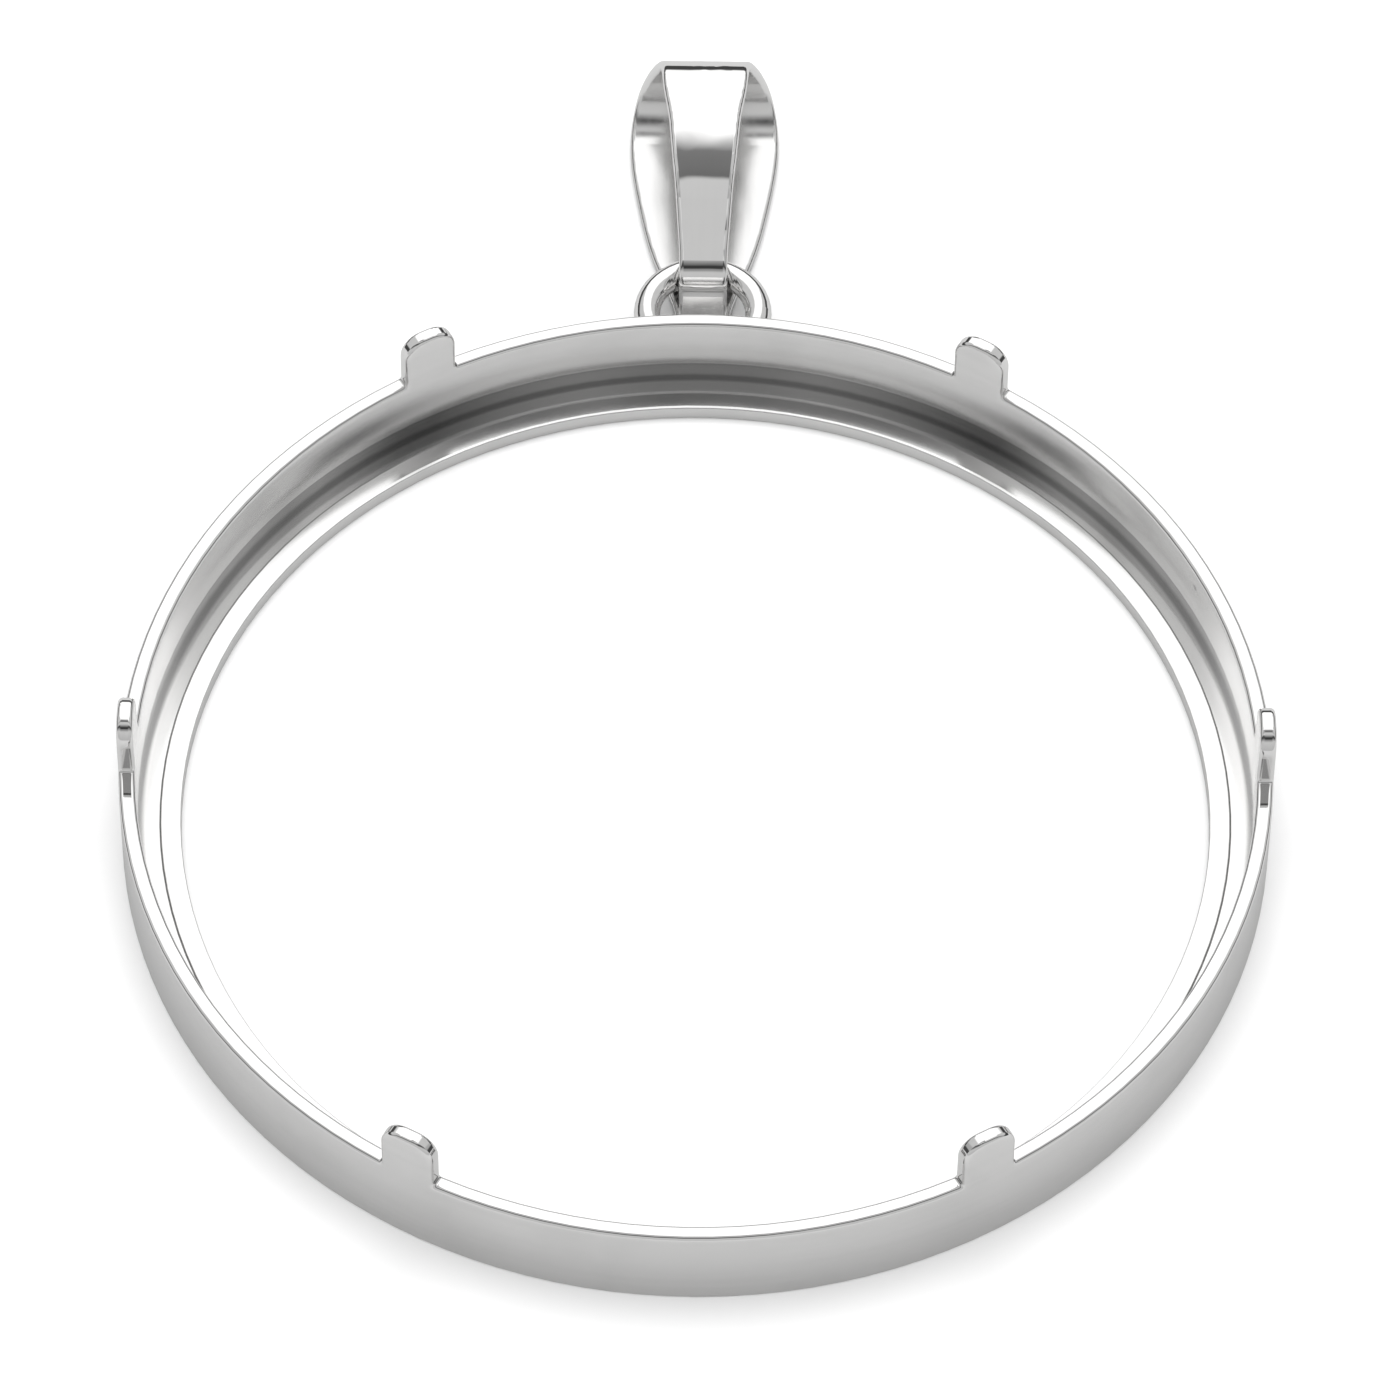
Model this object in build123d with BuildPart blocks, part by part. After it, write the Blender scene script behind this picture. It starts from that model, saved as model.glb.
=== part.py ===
"""A coin bezel with six tabs, its soldered hanging ring and its bail, lying on its back.

Millimetres, +Z up. The origin is the middle of the open back, on the surface that the back lies on.
The coin goes in from above, and the hanging ring and the bail are on the +Y side.
"""
import os
from collections import namedtuple
from math import cos, radians, sin, sqrt, tan

from build123d import *

os.makedirs("parts", exist_ok=True)

# The coin that the bezel holds
coin_diameter = 40.6
coin_thickness = 2.98
coin_clearance = 0.1

# Band: a wall round the coin; near the rim it opens a hair, so that the coin drops in
wall_thickness = 0.62
mouth_depth = 0.34
mouth_ease = 0.02
rim_edge_radius = 0.16
foot_edge_radius = 0.06

# Ledge under the coin's edge: a shallow groove parts its top from the wall, the top falls a little towards
# the window, and the lip is bevelled
ledge_height = 0.66
ledge_width = 1.55
ledge_fall = 0.06
groove_depth = 0.1
groove_width = 0.8
groove_edge_radius = 0.08
lip_bevel_width = 0.13
lip_bevel_depth = 0.022
lip_edge_radius = 0.05

# Tabs that are bent over the coin; the angles are from +X, and none is far off an even sixth of a turn
tab_angles = (0.9, 59.4, 119.6, 179.4, 241.4, 300)
tab_height = 2.2
tab_width = 2.1
tab_corner_radius = 0.85
tab_root_radius = 0.12

# Hanging ring of round wire, soldered to the wall a little right of the middle
ring_x = 0.07
ring_wire = 1.0
ring_outer_diameter = 5.24
ring_let_in = 0.57
ring_solder_depth = 0.3

# Bail: one strip bent to a loop that turns on the outer side of the hanging ring
bail_thickness = 0.45
bail_width = 5.72
bail_bend_width = 4.52
bail_hook_width = 1.84
bail_tail_width = 2.1
bail_edge_radius = 0.18
bail_reach = 6.86
bail_rise = 22.5
bail_crown_radius = 13
bail_tail = 2.0
bail_play = 0.06
bail_under_gap = 0.15

# Sizes that follow from those above
seat_radius = (coin_diameter + coin_clearance) / 2
outer_radius = seat_radius + wall_thickness
window_radius = seat_radius - ledge_width
groove_floor = ledge_height - groove_depth
groove_radius = seat_radius - groove_width
lip_height = ledge_height - ledge_fall
rim_height = ledge_height + coin_thickness
tab_top = rim_height + tab_height
ring_radius = (ring_outer_diameter - ring_wire) / 2
ring_hole_radius = ring_radius - ring_wire / 2
ring_y = outer_radius + ring_outer_diameter / 2 - ring_let_in
ring_z = bail_thickness + bail_under_gap + ring_wire / 2

# The bail turns about the middle of the ring's outermost wire
axis_y = ring_y + ring_radius
axis_z = ring_z

# Widths along the bail's two stretches: share is the way along the stretch, and blend is the way from
# the one named width to the next
Station = namedtuple("Station", "share blend")
TAIL_TO_WIDEST = [
    Station(0, 0),
    Station(0.106, 0.12),
    Station(0.22, 0.385),
    Station(0.36, 0.645),
    Station(0.50, 0.82),
    Station(0.62, 0.94),
    Station(0.75, 1),
]
WIDEST_TO_BEND = [Station(0.865, 0.18), Station(1, 1)]
BEND_TO_HOOK = [
    Station(0, 0),
    Station(0.06, 0.19),
    Station(0.12, 0.34),
    Station(0.24, 0.45),
    Station(0.36, 0.56),
    Station(0.42, 0.64),
    Station(0.51, 0.71),
    Station(0.62, 0.79),
    Station(0.725, 0.865),
    Station(0.90, 0.96),
    Station(1, 1),
]

# What is cut from the top of the wall: a tube less one upright wedge for each tab
with BuildPart() as tab_blank:
    with BuildSketch(Plane.YZ) as tab_face:
        with Locations((0, rim_height + tab_height / 2)):
            Rectangle(tab_width, tab_height)
        fillet(tab_face.vertices().group_by(Axis.Y)[-1], tab_corner_radius)
    extrude(amount=2 * outer_radius)
with BuildPart() as gaps:
    with BuildSketch(Plane.XY.offset(rim_height)):
        Circle(outer_radius + wall_thickness)
        Circle(window_radius, mode=Mode.SUBTRACT)
    extrude(amount=tab_height)
    with Locations([Location((0, 0, 0), (0, 0, angle)) for angle in tab_angles]):
        add(tab_blank.part, mode=Mode.SUBTRACT)

# Hanging ring: a torus, filed to the wall that it is soldered to
with BuildPart() as hanging_ring:
    with Locations((ring_x, ring_y, ring_z)):
        Torus(ring_radius, ring_wire / 2)
    Cylinder(seat_radius + ring_solder_depth, 4 * rim_height, mode=Mode.SUBTRACT)


def is_radial(edge):
    """True for an edge that crosses the wall."""
    middle = edge @ 0.5
    return abs((edge % 0.5).dot(Vector(middle.X, middle.Y, 0).normalized())) > 0.9


# Bezel: the band's section is turned about Z, the gaps leave the tabs standing, and the hanging ring is
# one with the wall
with BuildPart() as bezel:
    with BuildSketch(Plane.XZ):
        with BuildLine():
            FilletPolyline(
                (window_radius, 0),
                (outer_radius, 0),
                (outer_radius, tab_top),
                (seat_radius + mouth_ease, tab_top),
                (seat_radius, rim_height - mouth_depth),
                (seat_radius, groove_floor),
                (groove_radius + groove_depth / 2, groove_floor),
                (groove_radius, ledge_height),
                (window_radius + lip_bevel_width, lip_height),
                (window_radius, lip_height - lip_bevel_depth),
                radius=[
                    lip_edge_radius,
                    foot_edge_radius,
                    0,
                    0,
                    0,
                    0,
                    0,
                    groove_edge_radius,
                    0,
                    lip_edge_radius,
                ],
                close=True,
            )
        make_face()
    revolve(axis=Axis.Z)
    add(gaps.part, mode=Mode.SUBTRACT)
    crossing = bezel.edges().filter_by(is_radial)
    roots = crossing.filter_by(lambda e: abs(e.center().Z - rim_height) < 0.01)
    fillet(roots, tab_root_radius)
    rim = bezel.edges().filter_by(lambda e: e.center().Z > rim_height - 0.01 and not is_radial(e))
    fillet(rim, rim_edge_radius)
    add(hanging_ring.part)

# Bail: the middle of its strip runs along the back, round the far bend, over the crown, down to the
# hanging ring, round its wire and back to the tail
hook_half = bail_hook_width / 2
eye_radius = ring_radius - sqrt(ring_hole_radius**2 - hook_half**2) + bail_play
hook_radius = eye_radius + bail_thickness / 2
mid = bail_thickness / 2
rise = radians(bail_rise)
bend_y = axis_y + bail_reach
hook_top = (axis_y - hook_radius * sin(rise), axis_z + hook_radius * cos(rise))
crown_start_y = bend_y - bail_crown_radius * sin(rise)
crown_start_z = hook_top[1] + (crown_start_y - hook_top[0]) * tan(rise)
crown_z = crown_start_z + bail_crown_radius * (1 - cos(rise))
bend_radius = (crown_z - mid) / 2


def strip(route, stations):
    """The strip along a route, with a rounded rectangle at each station."""
    with BuildPart() as piece:
        for share, width in stations:
            with BuildSketch(Plane(origin=route @ share, x_dir=(1, 0, 0), z_dir=route % share)):
                RectangleRounded(width, bail_thickness, bail_edge_radius)
        sweep(path=route, multisection=len(stations) > 1)
    return piece.part


def widths(stations, width_from, width_to):
    """Pairs of share and width, where each width lies between two named ones."""
    return [(s.share, width_from + (width_to - width_from) * s.blend) for s in stations]


bail_plane = Plane.YZ.offset(ring_x)
with BuildLine(bail_plane) as back_route:
    Line((axis_y - bail_tail, mid), (bend_y, mid))
    JernArc((bend_y, mid), (1, 0), bend_radius, 90)

with BuildLine(bail_plane) as front_route:
    JernArc((bend_y + bend_radius, mid + bend_radius), (0, 1), bend_radius, 90)
    JernArc((bend_y, crown_z), (-1, 0), bail_crown_radius, bail_rise)
    Line((crown_start_y, crown_start_z), hook_top)

with BuildLine(bail_plane) as hook_route:
    JernArc(hook_top, (-cos(rise), -sin(rise)), hook_radius, 90 - bail_rise)
    Line((axis_y - hook_radius, axis_z), (axis_y - hook_radius, mid))

back_widths = widths(TAIL_TO_WIDEST, bail_tail_width, bail_width)
back_widths += widths(WIDEST_TO_BEND, bail_width, bail_bend_width)
with BuildPart() as bail:
    add(strip(back_route.line, back_widths))
    add(strip(front_route.line, widths(BEND_TO_HOOK, bail_bend_width, bail_hook_width)))
    add(strip(hook_route.line, [(0, bail_hook_width)]))

for name, piece in (("bezel", bezel), ("bail", bail)):
    piece.part.label = name
    export_step(piece.part, f"parts/{name}.step")
    print(name, round(piece.part.volume, 2), piece.part.is_valid, len(piece.part.solids()))
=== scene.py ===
"""A silver coin bezel lying on its back on a white table, seen as in the photograph."""
from math import cos, pi, radians, sin

import bpy
from mathutils import Matrix, Vector

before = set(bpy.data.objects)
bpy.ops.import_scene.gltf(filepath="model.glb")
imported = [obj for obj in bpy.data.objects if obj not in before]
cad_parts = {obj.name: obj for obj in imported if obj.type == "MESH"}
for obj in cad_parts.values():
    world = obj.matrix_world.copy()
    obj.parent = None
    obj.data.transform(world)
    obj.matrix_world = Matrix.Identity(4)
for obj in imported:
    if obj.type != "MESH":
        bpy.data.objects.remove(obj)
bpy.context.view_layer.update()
scene = bpy.context.scene

# Camera: its angles in degrees, its distance and its sideways and upward offset in metres
AZIMUTH, ELEVATION, ROLL = -0.072, 52.935, 0.697
DISTANCE, OFFSET_RIGHT, OFFSET_UP = 0.340, 0.000168, 0.004335
IMAGE_SIDE = 1400
FOCAL_PIXELS = 9282

# Places on the part, in metres: the wall's outer and inner radius, a height between the ledge and the rim,
# and the middle of the bail's loop
WALL_OUTER, WALL_INNER = 0.02097, 0.02035
ABOVE_LEDGE = 0.0014
LOOP_MIDDLE = (0.00007, 0.0300, 0.0021)


def make_camera():
    azimuth, elevation, roll = radians(AZIMUTH), radians(ELEVATION), radians(ROLL)
    back = Vector((sin(azimuth) * cos(elevation), -cos(azimuth) * cos(elevation), sin(elevation)))
    level_right = Vector((cos(azimuth), sin(azimuth), 0))
    level_up = back.cross(level_right)
    right = level_right * cos(roll) + level_up * sin(roll)
    up = level_up * cos(roll) - level_right * sin(roll)
    data = bpy.data.cameras.new("camera")
    data.sensor_width = 36
    data.lens = FOCAL_PIXELS / IMAGE_SIDE * data.sensor_width
    data.clip_start, data.clip_end = 0.01, 20
    camera = bpy.data.objects.new("camera", data)
    place = right * OFFSET_RIGHT + up * OFFSET_UP + back * DISTANCE
    camera.matrix_world = Matrix.Translation(place) @ Matrix((right, up, back)).transposed().to_4x4()
    scene.collection.objects.link(camera)
    scene.camera = camera


class Nodes:
    """Short names for building a node tree."""

    def __init__(self, tree):
        self.tree = tree

    def add(self, kind, inputs=(), **settings):
        node = self.tree.nodes.new(kind)
        for name, value in settings.items():
            setattr(node, name, value)
        for key, value in dict(inputs).items():
            if isinstance(value, bpy.types.NodeSocket):
                self.tree.links.new(value, node.inputs[key])
            else:
                node.inputs[key].default_value = value
        return node

    def math(self, operation, a, b=0.0, c=0.0):
        return self.add("ShaderNodeMath", {0: a, 1: b, 2: c}, operation=operation).outputs[0]

    def spread(self, value, low, high, to_low=0.0, to_high=1.0, smooth=True):
        kind = "SMOOTHSTEP" if smooth else "LINEAR"
        inputs = {0: value, 1: low, 2: high, 3: to_low, 4: to_high}
        return self.add("ShaderNodeMapRange", inputs, interpolation_type=kind).outputs[0]

    def mix(self, factor, a, b):
        inputs = {"Factor": factor, 2: a, 3: b}
        return self.add("ShaderNodeMix", inputs, data_type="FLOAT").outputs[0]

    def vector(self, operation, a, b=(0, 0, 0), result="Vector"):
        return self.add("ShaderNodeVectorMath", {0: a, 1: b}, operation=operation).outputs[result]

    def grey(self, level):
        return self.add("ShaderNodeCombineColor", {0: level, 1: level, 2: level}).outputs[0]

    def studio_ramp(self, value, stops):
        """The light at each angle, as a share of WHITE; the value is the angle as a share of 180 degrees."""
        node = self.add("ShaderNodeValToRGB", {0: value})
        points = node.color_ramp.elements
        while len(points) < len(stops):
            points.new(1)
        for point, (angle, light) in zip(points, stops):
            point.position = angle / 180
            point.color = (light / WHITE, light / WHITE, light / WHITE, 1)
        return node.outputs[0]


# The studio: the light that comes from each angle in degrees, where 0 is the horizon behind the camera, 90 is
# straight up and 180 is the horizon beyond the object. WHITE is the brightest of them.
WHITE = 1.25
MIDDLE = [
    (0, 0.50),
    (38, 0.60),
    (44, 0.58),
    (50, 0.33),
    (54.5, 0.28),
    (58, 0.04),
    (66, 0.05),
    (74, 0.32),
    (81, 0.60),
    (91.8, 0.64),
    (93.5, 0.16),
    (102, 0.21),
    (104.5, 0.55),
    (110, WHITE),
    (180, WHITE),
]
SIDES = [
    (0, 0.50),
    (44, 0.60),
    (50, 0.50),
    (59, 0.28),
    (65, 0.08),
    (72, 0.06),
    (78, 0.30),
    (83, 0.75),
    (87, 0.75),
    (91, 0.42),
    (97, 0.42),
    (106, WHITE),
    (180, WHITE),
]
# Where the middle gives way to the sides, as a share of a ray's length along X
SIDE_FROM, SIDE_TO = 0.12, 0.24
# Farther to the side, no light is above this level
FAR_FROM, FAR_TO, FAR_LEVEL = 0.36, 0.48, 0.60
# A low dark belt lies beyond the object and beside it: its shares along Z and along Y, and its level
BELT_BOTTOM, BELT_TOP = 0.24, 0.36
BELT_FRONT, BELT_BACK = -0.3, 0.0
BELT_LEVEL = 0.06
# What the studio gives to the floor
DOME = 1.28


def make_world():
    """The studio as the silver mirrors it; the floor gets an even dome, and the camera sees white."""
    world = bpy.data.worlds.new("studio")
    scene.world = world
    world.use_nodes = True
    tree = world.node_tree
    tree.nodes.clear()
    n = Nodes(tree)
    ray = n.add("ShaderNodeTexCoord").outputs["Generated"]
    axes = n.add("ShaderNodeSeparateXYZ", {0: ray}).outputs
    angle = n.math("ARCTAN2", axes[2], n.math("MULTIPLY", axes[1], -1.0))
    share = n.math("DIVIDE", angle, pi)
    sideways = n.math("ABSOLUTE", axes[0])
    middle, sides = n.studio_ramp(share, MIDDLE), n.studio_ramp(share, SIDES)
    light = n.mix(n.spread(sideways, SIDE_FROM, SIDE_TO), middle, sides)
    light = n.math("MULTIPLY", light, WHITE)
    light = n.math("MINIMUM", light, n.spread(sideways, FAR_FROM, FAR_TO, WHITE, FAR_LEVEL))
    low = n.spread(axes[2], BELT_BOTTOM, BELT_TOP, 1.0, 0.0)
    belt = n.math("MULTIPLY", low, n.spread(axes[1], BELT_FRONT, BELT_BACK))
    light = n.mix(belt, light, BELT_LEVEL)
    path = n.add("ShaderNodeLightPath").outputs
    light = n.mix(path["Is Diffuse Ray"], light, DOME)
    light = n.mix(path["Is Camera Ray"], light, 1.0)
    sky = n.add("ShaderNodeBackground", {"Color": (1, 1, 1, 1), "Strength": light})
    n.add("ShaderNodeOutputWorld", {0: sky.outputs[0]})


# Floor: half its side and how far it lies under the part in metres, and its tone as seen and as mirrored
FLOOR_REACH, FLOOR_DROP = 3, 0.00002
FLOOR_SEEN, FLOOR_MIRRORED = 0.9, 0.49


def make_floor():
    """A pale floor, which is greyer to the silver than to the camera."""
    mesh = bpy.data.meshes.new("floor")
    corners = [(FLOOR_REACH * x, FLOOR_REACH * y, 0) for x, y in ((-1, -1), (1, -1), (1, 1), (-1, 1))]
    mesh.from_pydata(corners, [], [(0, 1, 2, 3)])
    floor = bpy.data.objects.new("floor", mesh)
    floor.location.z = -FLOOR_DROP
    scene.collection.objects.link(floor)
    material = bpy.data.materials.new("floor_white")
    material.use_nodes = True
    n = Nodes(material.node_tree)
    shader = material.node_tree.nodes["Principled BSDF"]
    camera_ray = n.add("ShaderNodeLightPath").outputs["Is Camera Ray"]
    n.tree.links.new(n.grey(n.mix(camera_ray, FLOOR_MIRRORED, FLOOR_SEEN)), shader.inputs["Base Color"])
    shader.inputs["Roughness"].default_value = 0.9
    shader.inputs["Specular IOR Level"].default_value = 0.0
    mesh.materials.append(material)


# Lamp: its place and size in metres, and its power in watts
LAMP_PLACE = (0.0, 0.2, 0.66)
LAMP_SIZE, LAMP_POWER = 0.4, 1.2


def make_light():
    """A wide soft lamp above and behind, which reaches the floor and doesn't show in the silver."""
    data = bpy.data.lights.new("soft_lamp", "AREA")
    data.shape = "DISK"
    data.size = LAMP_SIZE
    data.energy = LAMP_POWER
    lamp = bpy.data.objects.new("soft_lamp", data)
    lamp.location = LAMP_PLACE
    lamp.rotation_euler = (-lamp.location).to_track_quat("-Z", "Y").to_euler()
    lamp.visible_glossy = False
    scene.collection.objects.link(lamp)


# Silver's green and blue against its red
SILVER_GREEN, SILVER_BLUE = 0.996, 0.99


def silver(name, finish):
    """Silver with a finish, which is a function that gives the roughness and the tone."""
    material = bpy.data.materials.new(name)
    material.use_nodes = True
    n = Nodes(material.node_tree)
    shader = material.node_tree.nodes["Principled BSDF"]
    shader.inputs["Metallic"].default_value = 1.0
    roughness, tone = finish(n, shader)
    green, blue = (n.math("MULTIPLY", tone, share) for share in (SILVER_GREEN, SILVER_BLUE))
    colour = n.add("ShaderNodeCombineColor", {0: tone, 1: green, 2: blue}).outputs[0]
    n.tree.links.new(colour, shader.inputs["Base Color"])
    n.tree.links.new(roughness, shader.inputs["Roughness"])
    return material


def noise(n, place, scale, detail=2.0):
    return n.add("ShaderNodeTexNoise", {"Vector": place, "Scale": scale, "Detail": detail}).outputs[0]


def vary(n, value, pattern, low, high):
    """A value times low to high, as the pattern's noise goes from its dark to its light."""
    return n.math("MULTIPLY", value, n.spread(pattern, 0.3, 0.7, low, high, smooth=False))


def flecks(n, place, scale, share):
    """1 in small specks, which only the given share of the pattern's cells has."""
    cells = n.add("ShaderNodeTexVoronoi", {"Vector": place, "Scale": scale}).outputs
    speck = n.spread(cells["Distance"], 0.02, 0.06, 1.0, 0.0)
    chosen = n.add("ShaderNodeSeparateColor", {0: cells["Color"]}).outputs[0]
    return n.math("MULTIPLY", speck, n.math("LESS_THAN", chosen, share))


# Roughness of polished and satin silver, of the seat and of the bail's inside
POLISHED, SATIN, SEAT_ROUGHNESS, INSIDE_ROUGHNESS = 0.04, 0.2, 0.14, 0.22
# Painted shade in the corner at the wall's foot, where the seat meets the wall: how far from the wall in
# metres it starts and is full, and the tone it darkens to
CORNER_SHADE_FROM, CORNER_SHADE_TO, CORNER_SHADE_TONE = 0.00025, 0.00007, 0.55


def bezel_finish(n, shader):
    """The wall is satin, with faint marks round it; the rim, the tabs' edges and the ring are polished;
    painted shade darkens the seat towards the foot of the wall.
    """
    coordinates = n.add("ShaderNodeTexCoord").outputs
    place = coordinates["Object"]
    axes = n.add("ShaderNodeSeparateXYZ", {0: place}).outputs
    flat = n.add("ShaderNodeCombineXYZ", {0: axes[0], 1: axes[1]}).outputs[0]
    radius = n.vector("LENGTH", flat, result="Value")
    outward = n.vector("NORMALIZE", flat)
    facing = n.math("ABSOLUTE", n.vector("DOT_PRODUCT", coordinates["Normal"], outward, result="Value"))
    on_band = n.math("LESS_THAN", radius, WALL_OUTER + 0.00008)
    wall = n.math("MULTIPLY", n.spread(facing, 0.8, 0.98), on_band)
    inside = n.math("LESS_THAN", radius, WALL_INNER + 0.00005)
    seat = n.math("MULTIPLY", inside, n.math("LESS_THAN", axes[2], ABOVE_LEDGE))

    stretched = n.vector("MULTIPLY", place, (0.03, 0.03, 1.0))
    inputs = {"Vector": stretched, "W": radius, "Scale": 4000.0, "Detail": 2.0}
    streaks = n.add("ShaderNodeTexNoise", inputs, noise_dimensions="4D").outputs[0]
    smudges = noise(n, place, 420.0, 3.0)
    specks = flecks(n, place, 330.0, 0.22)

    rough = n.mix(wall, n.mix(seat, POLISHED, SEAT_ROUGHNESS), SATIN)
    rough = vary(n, rough, streaks, 0.96, 1.04)
    rough = vary(n, rough, smudges, 0.92, 1.08)
    tone = vary(n, 1.0, streaks, 0.865, 0.9)
    tone = n.math("MULTIPLY", tone, n.spread(smudges, 0.5, 0.75, 1.0, n.mix(wall, 1.0, 0.96)))
    # Painted shade: the seat's tone darkens towards the foot of the wall, where the wall and ledge meet
    near_wall = n.spread(radius, WALL_INNER - CORNER_SHADE_FROM, WALL_INNER - CORNER_SHADE_TO)
    painted_corner_shade = n.math("MULTIPLY", seat, near_wall)
    tone = n.math("MULTIPLY", tone, n.mix(painted_corner_shade, 1.0, CORNER_SHADE_TONE))
    tone = n.math("MULTIPLY", tone, n.mix(specks, 1.0, n.mix(wall, 0.88, 0.65)))
    return rough, tone


def bail_finish(n, shader):
    """Polished by hand to slight waves, a little duller inside the loop, with a few fine marks."""
    coordinates = n.add("ShaderNodeTexCoord").outputs
    place = coordinates["Object"]
    from_middle = n.vector("MULTIPLY", n.vector("SUBTRACT", place, LOOP_MIDDLE), (0.0, 1.0, 1.0))
    away = n.vector("NORMALIZE", from_middle)
    facing = n.vector("DOT_PRODUCT", coordinates["Normal"], away, result="Value")
    inside = n.spread(facing, -0.3, -0.1, 1.0, 0.0)

    scratches = noise(n, n.vector("MULTIPLY", place, (1.0, 0.12, 0.12)), 5000.0)
    specks = flecks(n, place, 500.0, 0.15)
    rough = vary(n, n.mix(inside, POLISHED, INSIDE_ROUGHNESS), scratches, 0.9, 1.1)
    tone = vary(n, 1.0, scratches, 0.88, 0.89)
    tone = n.math("MULTIPLY", tone, n.mix(specks, 1.0, 0.85))
    waves = {"Strength": 1.0, "Distance": 0.00003, "Height": noise(n, place, 520.0, 1.0)}
    n.tree.links.new(n.add("ShaderNodeBump", waves).outputs[0], shader.inputs["Normal"])
    return rough, tone


make_camera()
make_world()
make_floor()
make_light()

scene.view_settings.view_transform = "Standard"

bezel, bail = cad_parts["bezel"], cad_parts["bail"]
bezel.material_slots[0].material = silver("bezel_silver_finish", bezel_finish)
bail.material_slots[0].material = silver("bail_silver_finish", bail_finish)
